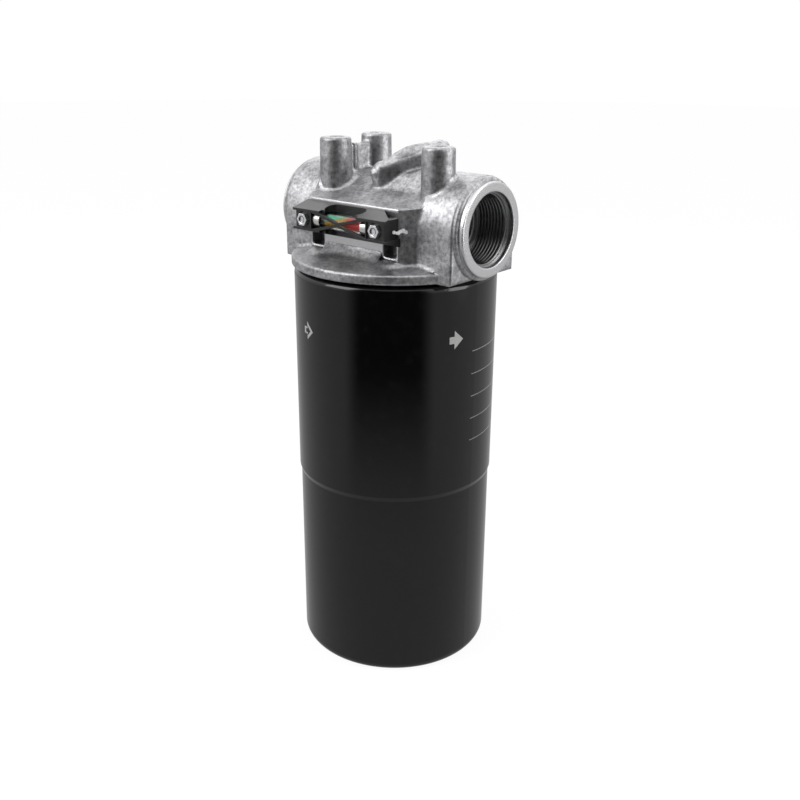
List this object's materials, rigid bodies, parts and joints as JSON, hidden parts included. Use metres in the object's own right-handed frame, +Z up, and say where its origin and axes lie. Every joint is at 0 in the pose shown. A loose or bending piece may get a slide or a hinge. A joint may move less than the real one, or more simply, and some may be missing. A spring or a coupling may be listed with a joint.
{
  "type": "return line filter",
  "caption": "In-line hydraulic return filter: cast head with two threaded ports, clogging indicator and a spin-on can that screws off below.",
  "frame": {"origin": "centre of the can's flat base", "axes": "+Z up along the can's axis, +X along the port axis towards the outlet, the indicator faces -Y"},
  "size_m": [0.1464, 0.132, 0.3408],
  "materials": {
    "cast_aluminium": "satin as cast, machined port faces",
    "black_paint": "gloss black enamel",
    "zinc_steel": "zinc plated",
    "steel_sheet": "bright pressed sheet",
    "spring_steel": "drawn wire",
    "black_rubber": "smooth",
    "filter_media": "pleated resin-bonded mat",
    "black_plastic": "fine moulded grain",
    "clear_plastic": "clear",
    "bright_sleeve": "turned",
    "piston_colours": "green, amber and red zones"
  },
  "bodies": {
    "head": {"filter_head": "cast_aluminium", "nipple": "zinc_steel", "bypass_seat": "steel_sheet", "bypass_cage": "steel_sheet", "bypass_spring": "spring_steel", "indicator_housing": "black_plastic", "indicator_glass": "clear_plastic", "indicator_collar_left": "bright_sleeve", "indicator_collar_right": "bright_sleeve", "indicator_spring": "spring_steel", "tube_seals": "black_rubber", "tap_seals": "black_rubber", "indicator_screws": "zinc_steel"},
    "bypass_valve": {"bypass_poppet": "steel_sheet"},
    "piston": {"indicator_piston": "piston_colours"},
    "gasket": {"can_gasket": "black_rubber"},
    "can": {"can_shell": "black_paint", "seam_lid": "steel_sheet", "base_plate": "steel_sheet", "element_seal": "black_rubber", "top_end_cap": "steel_sheet", "pleated_media": "filter_media", "centre_tube": "steel_sheet", "bottom_end_cap": "steel_sheet", "element_spring": "spring_steel"}
  },
  "joints": [
    {"name": "can_spin", "type": "hinge", "parent": "gasket", "child": "can", "pos_m": [0, 0, 0], "axis": [0, 0, -1], "range_deg": [0, 2880]},
    {"name": "can_drop", "type": "slide", "parent": "head", "child": "gasket", "axis": [0, 0, -1], "range_m": [0, 0.01272]},
    {"name": "bypass_lift", "type": "slide", "parent": "head", "child": "bypass_valve", "axis": [1, 0, 0], "range_m": [0, 0.005], "stiffness_N_per_m": 5000, "springref_m": -0.0077, "deforming": ["bypass_spring"]},
    {"name": "indicator_travel", "type": "slide", "parent": "head", "child": "piston", "axis": [-1, 0, 0], "range_m": [0, 0.0075], "stiffness_N_per_m": 300, "springref_m": -0.01, "deforming": ["indicator_spring"]}
  ],
  "couplings": [
    {"joint": "can_drop", "follows": "can_spin", "m_per_rad": 0.00025266}
  ]
}
